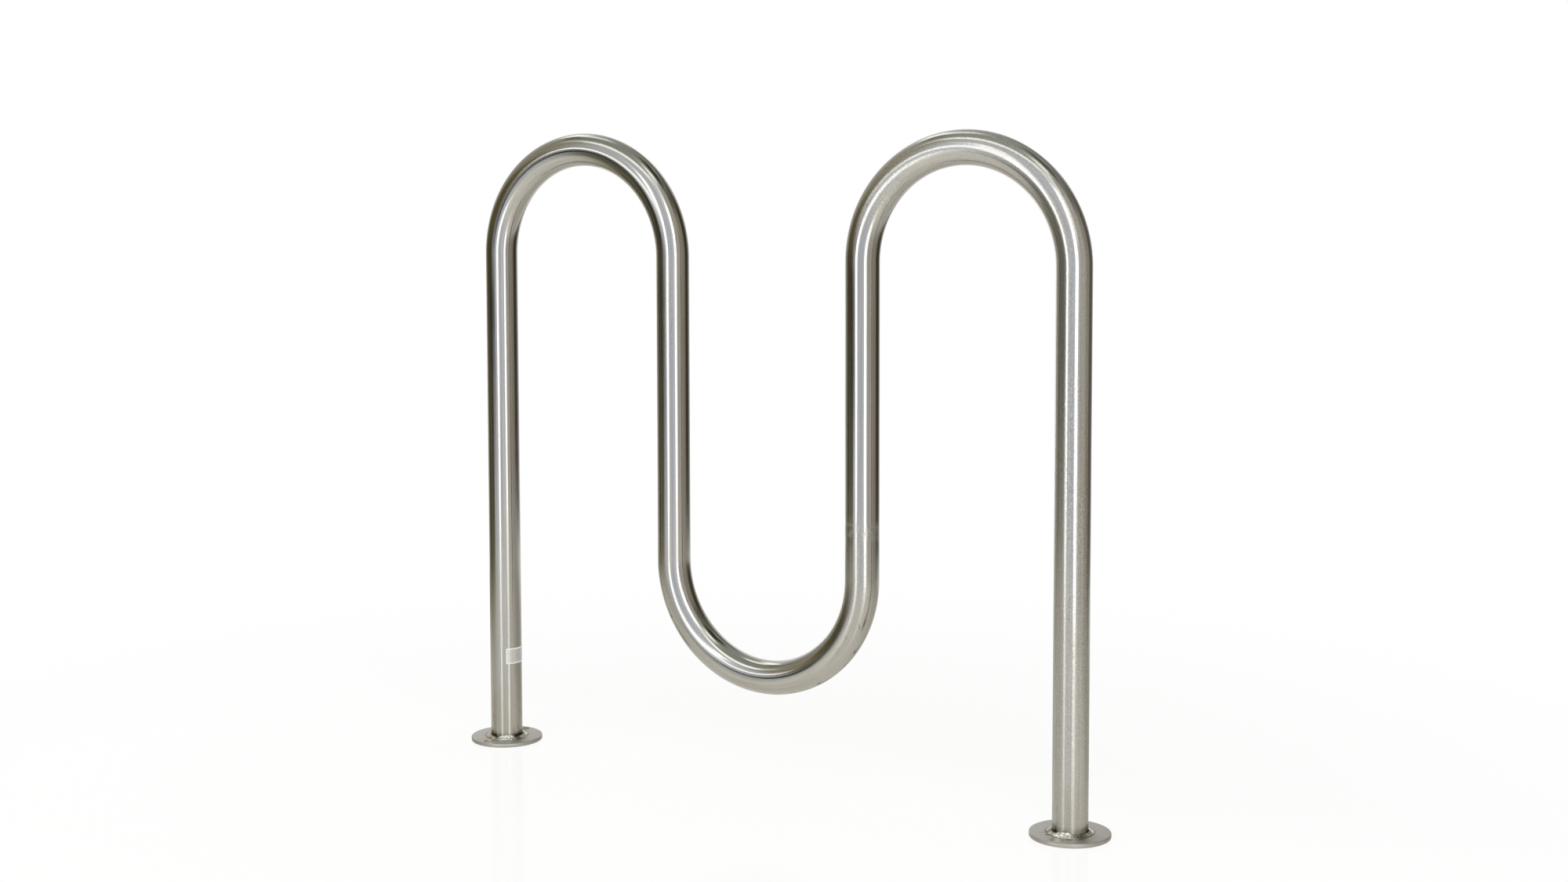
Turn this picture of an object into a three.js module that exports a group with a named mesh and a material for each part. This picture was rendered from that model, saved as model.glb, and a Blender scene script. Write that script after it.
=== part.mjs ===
// Hoop bike rack: one run of bent stainless tube with two hoops and a low bend between them, standing on
// two round base plates. The run is two bent tubes butt welded over a sleeve on the third leg.
// Millimetres. +Z is up, +X runs to the right foot and +Y to the back. The origin is on the floor, midway
// between the feet.

import * as THREE from 'three';

// Tube
const tubeDiameter = 50.8;
const tubeWall = 3;
const bendRadius = 165.1; // of the tube's centreline
const innerLegStraight = 464; // straight run of the two inner legs, between the low bend and the hoops
const lowBendClearance = 138; // floor to the underside of the low bend

// Base plates
const plateThickness = 6;
const plateEdgeBreak = 0.6;
const anchorHoleDiameter = 16;
const weldToHoleMargin = 3.7;
const holeToRimMargin = 3.65;

// Weld at each foot
const footWeldLeg = 8.4; // along the plate, from the tube's surface to the toe
const footWeldHeight = 6.5;
const footWeldBulgeShare = 0.6; // 0.5 is a flat bead face, and more is a fuller one

// Splice on the third leg
const spliceStub = 73; // straight tube between the low bend and the splice
const spliceRootGap = 3; // between the two cut ends
const spliceCrown = 0.2; // what the grinding leaves standing
const sleeveLength = 60;
const sleeveWall = 2.5;

// Label on the left leg
const labelWidth = 46; // round the tube
const labelHeight = 25.4;
const labelThickness = 0.3;
const labelCentreHeight = 141.3;

// Clearances
const weldClearance = 0.3;
const sleeveClearance = 0.3;
const labelClearance = 0.3;

// Facets
const tubeSides = 36;
const boreSides = 24;
const plateSides = 72;
const holeSides = 24;
const stepsPerBend = 24;
const beadSteps = 5;
const labelSteps = 10;

// Worked out from the sizes above
const tubeRadius = tubeDiameter / 2;
const boreRadius = tubeRadius - tubeWall;
const outerLegX = 3 * bendRadius;
const innerLegX = bendRadius;
const hoopCentreX = (innerLegX + outerLegX) / 2;
const lowBendZ = lowBendClearance + tubeRadius + bendRadius;
const hoopZ = lowBendZ + innerLegStraight;
const spliceZ = lowBendZ + spliceStub;
const anchorHoleRadius = anchorHoleDiameter / 2;
const footWeldRadius = tubeRadius + footWeldLeg;
const anchorCircleRadius = footWeldRadius + weldToHoleMargin + anchorHoleRadius;
const plateRadius = anchorCircleRadius + anchorHoleRadius + holeToRimMargin;

const finishes = {
  tube: { color: 0xb4aea4, roughness: 0.22, metalness: 1 },
  plate: { color: 0xa9a5a0, roughness: 0.45, metalness: 1 },
  weld: { color: 0xa19b90, roughness: 0.35, metalness: 1 },
  sleeve: { color: 0x8f8c87, roughness: 0.5, metalness: 1 },
  label: { color: 0xd8d8d6, roughness: 0.5, metalness: 0 },
};

// The centreline of a bent tube in the rack's upright plane. Its stations stand at the ends of the straight
// runs and evenly round each bend, and a sweep takes one step from each to the next.
class BentCentreline extends THREE.Curve {
  constructor() {
    super();
    this.stations = [];
  }

  addStation(x, z, headingX, headingZ) {
    this.stations.push({
      place: new THREE.Vector3(x, 0, z),
      heading: new THREE.Vector3(headingX, 0, headingZ),
    });
    return this;
  }

  // Adds a bend about a centre, between two angles that are measured from +X towards +Z.
  addBend(centreX, centreZ, startAngle, endAngle) {
    const turn = Math.sign(endAngle - startAngle);
    for (let step = 0; step <= stepsPerBend; step += 1) {
      const angle = startAngle + ((endAngle - startAngle) * step) / stepsPerBend;
      const x = centreX + bendRadius * Math.cos(angle);
      const z = centreZ + bendRadius * Math.sin(angle);
      this.addStation(x, z, -turn * Math.sin(angle), turn * Math.cos(angle));
    }
    return this;
  }

  get steps() {
    return this.stations.length - 1;
  }

  stationAt(share) {
    return this.stations[Math.round(share * this.steps)];
  }

  getPointAt(share, target = new THREE.Vector3()) {
    return target.copy(this.stationAt(share).place);
  }

  getTangentAt(share, target = new THREE.Vector3()) {
    return target.copy(this.stationAt(share).heading);
  }
}

function roundOutline(radius, sides, centreX = 0, centreY = 0) {
  const corners = [];
  for (let corner = 0; corner < sides; corner += 1) {
    const angle = (2 * Math.PI * corner) / sides;
    const x = centreX + radius * Math.cos(angle);
    const y = centreY + radius * Math.sin(angle);
    corners.push(new THREE.Vector2(x, y));
  }
  return corners;
}

// A hollow tube swept along a centreline.
function sweptTube(centreline, outerRadius, innerRadius) {
  const section = new THREE.Shape(roundOutline(outerRadius, tubeSides));
  section.holes.push(new THREE.Path(roundOutline(innerRadius, boreSides)));
  return new THREE.ExtrudeGeometry(section, {
    steps: centreline.steps,
    extrudePath: centreline,
  });
}

// A ring turned about the upright axis, from a closed profile of radius and height.
function turnedRing(profile) {
  return new THREE.LatheGeometry([...profile, profile[0]], tubeSides).rotateX(Math.PI / 2);
}

function leftTubeGeometry() {
  const centreline = new BentCentreline()
    .addStation(-outerLegX, plateThickness, 0, 1)
    .addBend(-hoopCentreX, hoopZ, Math.PI, 0)
    .addBend(0, lowBendZ, Math.PI, 2 * Math.PI)
    .addStation(innerLegX, spliceZ - spliceRootGap / 2, 0, 1);
  return sweptTube(centreline, tubeRadius, boreRadius);
}

function rightTubeGeometry() {
  const centreline = new BentCentreline()
    .addStation(innerLegX, spliceZ + spliceRootGap / 2, 0, 1)
    .addBend(hoopCentreX, hoopZ, Math.PI, 0)
    .addStation(outerLegX, plateThickness, 0, -1);
  return sweptTube(centreline, tubeRadius, boreRadius);
}

// The ground butt weld fills the gap between the two cut ends, with a low crown at mid height.
function spliceWeldGeometry() {
  const halfHeight = spliceRootGap / 2 - weldClearance;
  return turnedRing([
    new THREE.Vector2(boreRadius, -halfHeight),
    new THREE.Vector2(tubeRadius, -halfHeight),
    new THREE.Vector2(tubeRadius + spliceCrown, 0),
    new THREE.Vector2(tubeRadius, halfHeight),
    new THREE.Vector2(boreRadius, halfHeight),
  ]);
}

function spliceSleeveGeometry() {
  const outerRadius = boreRadius - sleeveClearance;
  const centreline = new BentCentreline()
    .addStation(0, -sleeveLength / 2, 0, 1)
    .addStation(0, sleeveLength / 2, 0, 1);
  return sweptTube(centreline, outerRadius, outerRadius - sleeveWall);
}

// A round flange with its edges broken and an anchor hole on each side of the rack's plane.
function basePlateGeometry() {
  const outline = new THREE.Shape(roundOutline(plateRadius, plateSides));
  for (const side of [-1, 1]) {
    const hole = roundOutline(anchorHoleRadius, holeSides, 0, side * anchorCircleRadius);
    outline.holes.push(new THREE.Path(hole));
  }
  const geometry = new THREE.ExtrudeGeometry(outline, {
    depth: plateThickness - 2 * plateEdgeBreak,
    bevelThickness: plateEdgeBreak,
    bevelSize: plateEdgeBreak,
    bevelOffset: -plateEdgeBreak,
    bevelSegments: 1,
  });
  return geometry.translate(0, 0, plateEdgeBreak);
}

// The fillet bead stands on the plate, round the tube.
function footWeldGeometry() {
  const innerRadius = tubeRadius + weldClearance;
  const beadLeg = footWeldRadius - innerRadius;
  const face = new THREE.QuadraticBezierCurve(
    new THREE.Vector2(footWeldRadius, 0),
    new THREE.Vector2(innerRadius + footWeldBulgeShare * beadLeg, footWeldBulgeShare * footWeldHeight),
    new THREE.Vector2(innerRadius, footWeldHeight),
  );
  return turnedRing([new THREE.Vector2(innerRadius, 0), ...face.getPoints(beadSteps)]);
}

// A sheet bent round the tube, centred on +X.
function labelGeometry() {
  const innerRadius = tubeRadius + labelClearance;
  const outerRadius = innerRadius + labelThickness;
  const halfAngle = labelWidth / tubeRadius / 2;
  const outerArc = [];
  const innerArc = [];
  for (let step = 0; step <= labelSteps; step += 1) {
    const angle = halfAngle * ((2 * step) / labelSteps - 1);
    const direction = new THREE.Vector2(Math.cos(angle), Math.sin(angle));
    outerArc.push(direction.clone().multiplyScalar(outerRadius));
    innerArc.unshift(direction.clone().multiplyScalar(innerRadius));
  }
  const outline = new THREE.Shape([...outerArc, ...innerArc]);
  return new THREE.ExtrudeGeometry(outline, { depth: labelHeight, bevelEnabled: false });
}

function piece(name, geometry, finish, x = 0, z = 0) {
  const mesh = new THREE.Mesh(geometry, new THREE.MeshStandardMaterial(finish));
  mesh.name = name;
  mesh.position.set(x, 0, z);
  return mesh;
}

// A base plate with its weld bead, under one of the outer legs.
function foot(side, x) {
  const group = new THREE.Group();
  group.position.x = x;
  group.add(piece(`${side}_base_plate`, basePlateGeometry(), finishes.plate));
  group.add(piece(`${side}_foot_weld`, footWeldGeometry(), finishes.weld, 0, plateThickness));
  return group;
}

// The butt weld and the sleeve behind it.
function splice() {
  const group = new THREE.Group();
  group.position.set(innerLegX, 0, spliceZ);
  group.add(piece('splice_weld', spliceWeldGeometry(), finishes.weld));
  group.add(piece('splice_sleeve', spliceSleeveGeometry(), finishes.sleeve));
  return group;
}

const labelBottom = labelCentreHeight - labelHeight / 2;

const bikeRack = new THREE.Group();
bikeRack.name = 'hoop_bike_rack';
bikeRack.add(piece('left_bent_tube', leftTubeGeometry(), finishes.tube));
bikeRack.add(piece('right_bent_tube', rightTubeGeometry(), finishes.tube));
bikeRack.add(splice());
bikeRack.add(foot('left', -outerLegX));
bikeRack.add(foot('right', outerLegX));
bikeRack.add(piece('blank_label', labelGeometry(), finishes.label, -outerLegX, labelBottom));

export default bikeRack;
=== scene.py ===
"""Hoop bike rack: the finished tubes, plates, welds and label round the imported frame.

Metres, in the frame's own axes: +X runs to the right foot, +Y to the back and +Z up.
"""

import math

import bmesh
import bpy
from bpy.props import FloatProperty, FloatVectorProperty, IntProperty, PointerProperty
from mathutils import Matrix, Vector, noise


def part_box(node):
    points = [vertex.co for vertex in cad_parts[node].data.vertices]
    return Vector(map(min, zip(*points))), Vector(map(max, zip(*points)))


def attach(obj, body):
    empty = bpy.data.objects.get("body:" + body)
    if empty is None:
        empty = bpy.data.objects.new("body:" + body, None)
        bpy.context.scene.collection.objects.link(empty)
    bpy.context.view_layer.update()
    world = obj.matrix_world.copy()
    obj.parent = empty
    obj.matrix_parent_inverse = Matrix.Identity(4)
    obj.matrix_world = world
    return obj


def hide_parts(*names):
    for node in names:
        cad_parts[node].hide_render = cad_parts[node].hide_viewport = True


bl_info = {
    "name": "Hoop bike rack",
    "version": (1, 0, 0),
    "blender": (4, 5, 0),
    "location": "View3D > Sidebar > Bike rack",
    "description": "Builds the finished tubes, plates, welds and label of a bike rack, and its studio",
    "category": "Add Mesh",
}

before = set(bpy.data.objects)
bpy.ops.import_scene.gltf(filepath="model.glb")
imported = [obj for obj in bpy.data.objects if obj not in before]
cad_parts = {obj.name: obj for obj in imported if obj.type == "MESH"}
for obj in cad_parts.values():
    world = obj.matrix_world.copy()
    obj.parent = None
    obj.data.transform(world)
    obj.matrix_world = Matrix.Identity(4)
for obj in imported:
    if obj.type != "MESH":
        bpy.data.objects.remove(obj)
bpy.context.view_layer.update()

MM = 0.001
BODY = "root"
UP = Vector((0, 0, 1))
BACK = Vector((0, 1, 0))
WHITE = (1, 1, 1)


def lowest_over(node, x, reach):
    """The lowest point of a node near one place along the rack."""
    corners = (v.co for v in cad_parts[node].data.vertices)
    return min(c.z for c in corners if abs(c.x - x) < reach)


LEFT_LOW, LEFT_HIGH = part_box("left_bent_tube")
RIGHT_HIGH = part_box("right_bent_tube")[1]
SPLICE_LOW, SPLICE_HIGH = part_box("splice_weld")
WELD_LOW, WELD_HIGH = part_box("left_foot_weld")
TUBE_RADIUS = LEFT_HIGH.y
FOOT_X = RIGHT_HIGH.x - TUBE_RADIUS
INNER_X = LEFT_HIGH.x - TUBE_RADIUS
BEND_RADIUS = INNER_X
HOOP_X = (INNER_X + FOOT_X) / 2
HOOP_Z = LEFT_HIGH.z - TUBE_RADIUS - BEND_RADIUS
LOW_BEND_Z = lowest_over("left_bent_tube", 0, TUBE_RADIUS / 2) + TUBE_RADIUS + BEND_RADIUS
UPPER_CUT_Z = lowest_over("right_bent_tube", INNER_X, 2 * TUBE_RADIUS)
LOWER_CUT_Z = (SPLICE_LOW + SPLICE_HIGH).z - UPPER_CUT_Z
PLATE_TOP = LEFT_LOW.z
WELD_RADIUS = (WELD_HIGH.x - WELD_LOW.x) / 2
FOOT_PLACES = {"left": -FOOT_X, "right": FOOT_X}

# Arcs of weld marks round each foot, as azimuth of the middle, half width and strength. Azimuth is in
# degrees from straight in front, at -Y, towards +X. Soot is on the tube, burns are on bead and plate.
# In the arcs of lumps_and_painted_highlight the bead is fuller and lumpier, and its near-white colour is a
# painted highlight.
FOOT_MARKS = {
    "soot": {
        "left": ((-26, 28, 1.0), (94, 33, 1.0), (178, 25, 0.7)),
        "right": ((-47, 25, 1.0), (99, 14, 1.0), (-160, 25, 0.8)),
    },
    "burn": {
        "left": ((-14, 20, 1.0), (76, 14, 0.9), (170, 20, 0.8)),
        "right": ((-48, 26, 1.0), (57, 24, 1.0), (-150, 20, 0.8)),
    },
    "lumps_and_painted_highlight": {
        "left": ((38, 29, 1.0), (-100, 28, 0.8), (150, 24, 0.8)),
        "right": ((4, 25, 1.0), (128, 26, 0.8), (-120, 28, 0.8)),
    },
}
ARC_EDGE = 6  # a higher power ends an arc more abruptly
MARKED_REACH = 3 * TUBE_RADIUS


# Sizes and colours that a user would change

def length_prop(name, description, metres):
    return FloatProperty(name=name, description=description, default=metres, unit="LENGTH")


def angle_prop(name, description, degrees):
    angle = math.radians(degrees)
    return FloatProperty(name=name, description=description, default=angle, unit="ROTATION")


def factor_prop(name, description, share):
    return FloatProperty(name=name, description=description, default=share, subtype="FACTOR")


def colour_prop(name, description, rgb):
    return FloatVectorProperty(name=name, description=description, default=rgb, subtype="COLOR")


def count_prop(name, description, count):
    return IntProperty(name=name, description=description, default=count)


class TubeSettings(bpy.types.PropertyGroup):
    wall: length_prop("Wall", "Wall of the tube", 3 * MM)
    sides: count_prop("Sides", "Sides of the tube's round section", 96)
    station_gap: length_prop("Station gap", "Length of tube between rings of the mesh", 5 * MM)
    splice_station_gap: length_prop("Splice station gap", "The same gap near the splice", 1 * MM)
    sharp_angle: angle_prop("Sharp angle", "Edges that turn more than this stay sharp", 40)
    waviness: length_prop("Waviness", "How far the drawn tube wanders from a true round", 0.08 * MM)
    wave_length: length_prop("Wave length", "Length of the waves along the tube", 130 * MM)
    splice_dent: length_prop("Splice dent", "Depth of the grinding at the splice", 0.3 * MM)
    splice_reach: length_prop("Splice reach", "How far the ground zone reaches from the splice", 17 * MM)
    steel: colour_prop("Steel", "Colour of the polished steel", (0.475, 0.46, 0.43))
    stain: colour_prop("Stain", "Colour of the faint tea staining", (0.4, 0.37, 0.29))
    roughness: factor_prop("Roughness", "Roughness of the polish", 0.145)
    satin_start: length_prop("Satin start", "Distance in which the satin sets in", 30 * MM)
    haze: factor_prop("Haze", "How much the satin finish scatters", 0.11)
    stretch: factor_prop("Stretch", "How much the polish draws highlights along the tube", 0.75)


class PlateSettings(bpy.types.PropertyGroup):
    hole_circle: length_prop("Hole circle", "From the plate's centre to each hole", 45.5 * MM)
    hole_radius: length_prop("Hole radius", "Radius of the anchor holes", 8 * MM)
    edge_break: length_prop("Edge break", "Round on the plate's edges", 1 * MM)
    sharp_angle: angle_prop("Sharp angle", "Edges that turn more than this stay sharp", 35)
    steel: colour_prop("Steel", "Colour of the brushed plate", (0.53, 0.51, 0.475))
    roughness: factor_prop("Roughness", "Roughness of the brushed face", 0.48)
    # A khaki tone painted lighter than the drilled wall is: painted light against the shade inside the
    # holes
    hole_wall_painted_lighter: colour_prop("Hole wall", "Colour of the holes' walls", (0.68, 0.62, 0.47))


class WeldSettings(bpy.types.PropertyGroup):
    steps: count_prop("Steps", "Steps round the bead", 300)
    profile_steps: count_prop("Profile steps", "Steps from the bead's toe to its top", 14)
    bulge_share: factor_prop("Bulge share", "0.5 is a flat bead face, and more is a fuller one", 0.56)
    plain_height_share: factor_prop("Plain height share", "Height of its plain stretches", 0.62)
    top_wander: factor_prop("Top wander", "How far the bead's top edge wanders", 0.22)
    lumps: length_prop("Lumps", "Unevenness of the bead", 1.2 * MM)
    plain_lumps: factor_prop("Plain lumps", "Unevenness of its plain stretches", 0.15)
    # A near-white colour, which paints a highlight on the bead's lumpy arcs
    bright: colour_prop("Bright", "Colour of the fresh bead", (0.98, 0.97, 0.93))
    dull: colour_prop("Dull", "Colour of the plain bead", (0.4, 0.375, 0.3))


class LabelSettings(bpy.types.PropertyGroup):
    film: length_prop("Film", "Thickness of the label", 0.14 * MM)
    border: length_prop("Border", "Width of the white border", 1.9 * MM)
    corner: length_prop("Corner", "Radius of the label's corners", 1.2 * MM)
    field: colour_prop("Field", "Colour of the blank field", (0.61, 0.61, 0.6))
    sheen: factor_prop("Metal sheen", "How metallic the blank field looks", 0.6)
    border_colour: colour_prop("Border colour", "Colour of the border", (0.85, 0.85, 0.83))


class StudioSettings(bpy.types.PropertyGroup):
    floor_radius: length_prop("Floor radius", "Radius of the pale floor", 1.9)
    floor_colour: colour_prop("Floor colour", "Colour of the pale floor", (0.85, 0.835, 0.775))
    rear_floor_colour: colour_prop(
        "Rear floor colour", "Colour of the floor behind the rack", (0.66, 0.645, 0.59))
    left_floor_colour: colour_prop(
        "Left floor colour", "Colour of the floor far out on the left", (0.4, 0.37, 0.26))
    floor_roughness: factor_prop("Floor roughness", "Roughness of the floor's slight gloss", 0.12)
    floor_white: factor_prop("Floor white", "Share of plain white in the floor at the rack", 0.86)
    strip_width: length_prop("Strip width", "Width of each upright strip light", 0.46)
    strip_height: length_prop("Strip height", "Height of each upright strip light", 2.2)
    strip_radiance: FloatProperty(
        name="Strip radiance", description="Brightness of the strip lights, where 1 is white",
        default=2.0)
    low_strip_length: length_prop("Low strip length", "Length of the level strip light", 1.6)
    low_strip_width: length_prop("Low strip width", "Width of the level strip light", 0.3)
    card_height: length_prop("Card height", "Height of the dark card", 0.7)


class RackSettings(bpy.types.PropertyGroup):
    tube: PointerProperty(type=TubeSettings)
    plate: PointerProperty(type=PlateSettings)
    weld: PointerProperty(type=WeldSettings)
    label: PointerProperty(type=LabelSettings)
    studio: PointerProperty(type=StudioSettings)


# Helpers for meshes

def new_object(name, data):
    """Puts a mesh, light or camera into the scene."""
    thing = bpy.data.objects.new(name, data)
    bpy.context.scene.collection.objects.link(thing)
    return thing


def smooth_mesh(name, vertices, faces):
    mesh = bpy.data.meshes.new(name)
    mesh.from_pydata(vertices, [], faces)
    mesh.polygons.foreach_set("use_smooth", [True] * len(faces))
    mesh.update()
    return mesh


def paint(piece, material):
    """Gives a piece its finish."""
    piece.data.materials.clear()
    piece.data.materials.append(material)


def finish_piece(piece, material, node):
    """Paints a piece, lets it ride on the rack and hides the node of the frame that it stands in for."""
    paint(piece, material)
    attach(piece, BODY)
    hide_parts(node)


def set_attribute(mesh, name, values):
    """Stores one number for each vertex."""
    mesh.attributes.new(name, "FLOAT", "POINT").data.foreach_set("value", values)


def set_vectors(mesh, name, vectors):
    """Stores one vector for each vertex."""
    data = mesh.attributes.new(name, "FLOAT_VECTOR", "POINT").data
    data.foreach_set("vector", [part for vector in vectors for part in vector])


def arc_strength(arcs, x, y):
    """How strongly the arcs of a foot show at a place beside its middle."""
    azimuth = math.degrees(math.atan2(x, -y))
    strongest = 0.0
    for middle, half_width, strength in arcs:
        apart = (azimuth - middle + 180) % 360 - 180
        strongest = max(strongest, strength * math.exp(-((apart / half_width) ** ARC_EDGE)))
    return strongest


def foot_marks(mesh):
    """Stores how strongly each kind of weld mark shows at each vertex near a foot."""
    for kind, sides in FOOT_MARKS.items():
        strengths = []
        for vertex in mesh.vertices:
            side = "left" if vertex.co.x < 0 else "right"
            x, y = vertex.co.x - FOOT_PLACES[side], vertex.co.y
            near = abs(x) < MARKED_REACH and vertex.co.z < MARKED_REACH
            strengths.append(arc_strength(sides[side], x, y) if near else 0.0)
        set_attribute(mesh, kind, strengths)


def sharpen(mesh, angle):
    """Smooths the mesh apart from the edges that turn more than an angle."""
    shape = bmesh.new()
    shape.from_mesh(mesh)
    for edge in shape.edges:
        edge.smooth = edge.calc_face_angle(0) < angle
    for face in shape.faces:
        face.smooth = True
    shape.to_mesh(mesh)
    shape.free()


def clamped(value):
    return min(1, max(0, value))


# Helpers for materials

class Shader:
    """One node material, or the world, and short ways to add nodes to it."""

    def __init__(self, owner):
        owner.use_nodes = True
        self.owner = owner
        self.tree = owner.node_tree
        self.tree.nodes.clear()

    def node(self, kind, inputs=None, **settings):
        made = self.tree.nodes.new(kind)
        for name, value in settings.items():
            setattr(made, name, value)
        for name, value in (inputs or {}).items():
            self.feed(made.inputs[name], value)
        return made

    def feed(self, socket, value):
        """Links an input to an output, or sets its value. A colour is given as plain RGB."""
        if isinstance(value, bpy.types.NodeSocket):
            self.tree.links.new(value, socket)
        elif socket.type == "RGBA":
            socket.default_value = (*value, 1.0)
        else:
            socket.default_value = value

    def math(self, operation, a, b=0.0):
        return self.node("ShaderNodeMath", {0: a, 1: b}, operation=operation).outputs[0]

    def vector_math(self, operation, *vectors):
        return self.node("ShaderNodeVectorMath", dict(enumerate(vectors)), operation=operation).outputs

    def chain(self, operation, values):
        result = values[0]
        for value in values[1:]:
            result = self.math(operation, result, value)
        return result

    def add(self, *values):
        return self.chain("ADD", values)

    def times(self, *values):
        return self.chain("MULTIPLY", values)

    def most(self, *values):
        return self.chain("MAXIMUM", values)

    def less(self, value, taken_off):
        return self.math("SUBTRACT", value, taken_off)

    def unsigned(self, value):
        return self.math("ABSOLUTE", value)

    def ramp(self, value, low, high, to_low=0.0, to_high=1.0):
        """Eases from one value to another as the input goes from low to high."""
        made = self.node("ShaderNodeMapRange", {
            "Value": value, "From Min": low, "From Max": high, "To Min": to_low, "To Max": to_high},
            interpolation_type="SMOOTHSTEP")
        return made.outputs["Result"]

    def fade(self, value, low, high):
        """Eases from 1 to 0 as the input goes from low to high."""
        return self.ramp(value, low, high, 1, 0)

    def mix(self, factor, a, b):
        made = self.node("ShaderNodeMix", data_type="RGBA")
        self.feed(made.inputs["Factor"], factor)
        self.feed(made.inputs["A"], a)
        self.feed(made.inputs["B"], b)
        return next(s for s in made.outputs if s.type == "RGBA")

    def shades(self, factor, rgb, dark, light):
        """Runs from a darker to a lighter shade of one colour."""
        return self.mix(factor, [c * dark for c in rgb], [c * light for c in rgb])

    def cover(self, under, where, share, rgb):
        """Lays a colour over another in some places, where it covers at most a share."""
        return self.mix(self.times(where, share), under, rgb)

    def attribute(self, name, output="Fac"):
        return self.node("ShaderNodeAttribute", attribute_name=name).outputs[output]

    def position(self):
        return self.node("ShaderNodeTexCoord").outputs["Object"]

    def drawn_out(self, vector, share):
        """Squeezes a place along the tube, which draws a pattern out that way."""
        return self.vector_math("MULTIPLY", vector, (1, 1, share))[0]

    def noise(self, vector, scale, detail=2.0, roughness=0.5):
        made = self.node("ShaderNodeTexNoise", {
            "Vector": vector, "Scale": scale, "Detail": detail, "Roughness": roughness})
        return made.outputs["Fac"]

    def scattered(self, vector, scale):
        """The distance to the nearest of many scattered points."""
        return self.node("ShaderNodeTexVoronoi", {"Vector": vector, "Scale": scale}).outputs["Distance"]

    def bump(self, height, distance, strength=1.0, over=None):
        inputs = {"Strength": strength, "Distance": distance, "Height": height}
        if over is not None:
            inputs["Normal"] = over
        return self.node("ShaderNodeBump", inputs).outputs[0]

    def reflected(self, rays):
        """1 where metal or glass shows the surface, from the outputs of a Light Path node."""
        return self.most(rays["Is Glossy Ray"], rays["Is Transmission Ray"])

    def finish(self, kind, inputs):
        """Ends the material in one surface shader, and gives the material."""
        surface = self.node(kind, inputs)
        self.node("ShaderNodeOutputMaterial", {"Surface": surface.outputs[0]})
        return self.owner


def new_shader(name):
    return Shader(bpy.data.materials.new(name))


# Tubes

DRAWN_WAVES = 1.3  # waves of the drawn surface round the tube
GROUND_WAVES = 1.8  # the same of the ground zone
GROUND_SEED = 3
GROUND_LEAST = 0.001
BORE_EVERY = 4  # the bore has one ring for so many rings outside
MAP_LENGTH = 100 * MM  # length of tube in one unit of the map along it

DRAWN_LINE_DEPTH = 0.012 * MM
SPOT_DEPTH = 0.03 * MM
GROUND_START = 6 * MM
STAIN_HEIGHTS = (20 * MM, 150 * MM)
SCORCH_HEIGHTS = (3 * MM, 6 * MM)
SMOKE_HEIGHTS = (5 * MM, 18 * MM)
DRIFT_HEIGHTS = (10 * MM, 70 * MM)
SOOT_WANDER = 5 * MM

# The most that each mark covers of the steel, and its colour
LIGHT_GRAIN = 0.35, (0.72, 0.71, 0.68)
DARK_GRAIN = 0.35, (0.22, 0.2, 0.17)
WEAR = 0.7, (0.12, 0.1, 0.07)
SMOKE = 0.6, (0.16, 0.13, 0.08)
DRIFTED_SOOT = 0.45, (0.2, 0.18, 0.14)
SCORCH = 0.9, (0.05, 0.035, 0.02)


class TubeRun:
    """Stations along the tube's centreline, from the left foot to the right one."""

    def __init__(self, start, heading):
        self.stations = [(Vector(start), Vector(heading), 0.0)]

    @property
    def length(self):
        return self.stations[-1][2]

    def add(self, place, heading):
        before, _, distance = self.stations[-1]
        self.stations.append((place, heading, distance + (place - before).length))

    def straight(self, end, gap):
        """A straight run to a place. Gives the number of its last station."""
        start, end = self.stations[-1][0], Vector(end)
        heading = (end - start).normalized()
        steps = max(1, round((end - start).length / gap))
        for step in range(1, steps + 1):
            self.add(start.lerp(end, step / steps), heading)
        return len(self.stations) - 1

    def bend(self, centre, start_angle, end_angle, gap):
        """A bend about a centre, between two angles that are measured from +X towards +Z."""
        centre = Vector(centre)
        sweep = end_angle - start_angle
        turn = math.copysign(1, sweep)
        steps = round(abs(sweep) * BEND_RADIUS / gap)
        for step in range(1, steps + 1):
            angle = start_angle + sweep * step / steps
            outward = Vector((math.cos(angle), 0, math.sin(angle)))
            heading = turn * Vector((-math.sin(angle), 0, math.cos(angle)))
            self.add(centre + BEND_RADIUS * outward, heading)


def trace_run(settings):
    """The whole run, and the numbers of the stations at the lower and upper cut of the splice."""
    gap, fine = settings.station_gap, settings.splice_station_gap
    run = TubeRun((-FOOT_X, 0, PLATE_TOP), UP)
    run.straight((-FOOT_X, 0, HOOP_Z), gap)
    run.bend((-HOOP_X, 0, HOOP_Z), math.pi, 0, gap)
    run.straight((-INNER_X, 0, LOW_BEND_Z), gap)
    run.bend((0, 0, LOW_BEND_Z), math.pi, 2 * math.pi, gap)
    run.straight((INNER_X, 0, LOWER_CUT_Z - 2 * settings.splice_reach), gap)
    lower = run.straight((INNER_X, 0, LOWER_CUT_Z), fine)
    upper = run.straight((INNER_X, 0, UPPER_CUT_Z), fine)
    run.straight((INNER_X, 0, UPPER_CUT_Z + 2 * settings.splice_reach), fine)
    run.straight((INNER_X, 0, HOOP_Z), gap)
    run.bend((HOOP_X, 0, HOOP_Z), math.pi, 0, gap)
    run.straight((FOOT_X, 0, PLATE_TOP), gap)
    return run, lower, upper


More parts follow.
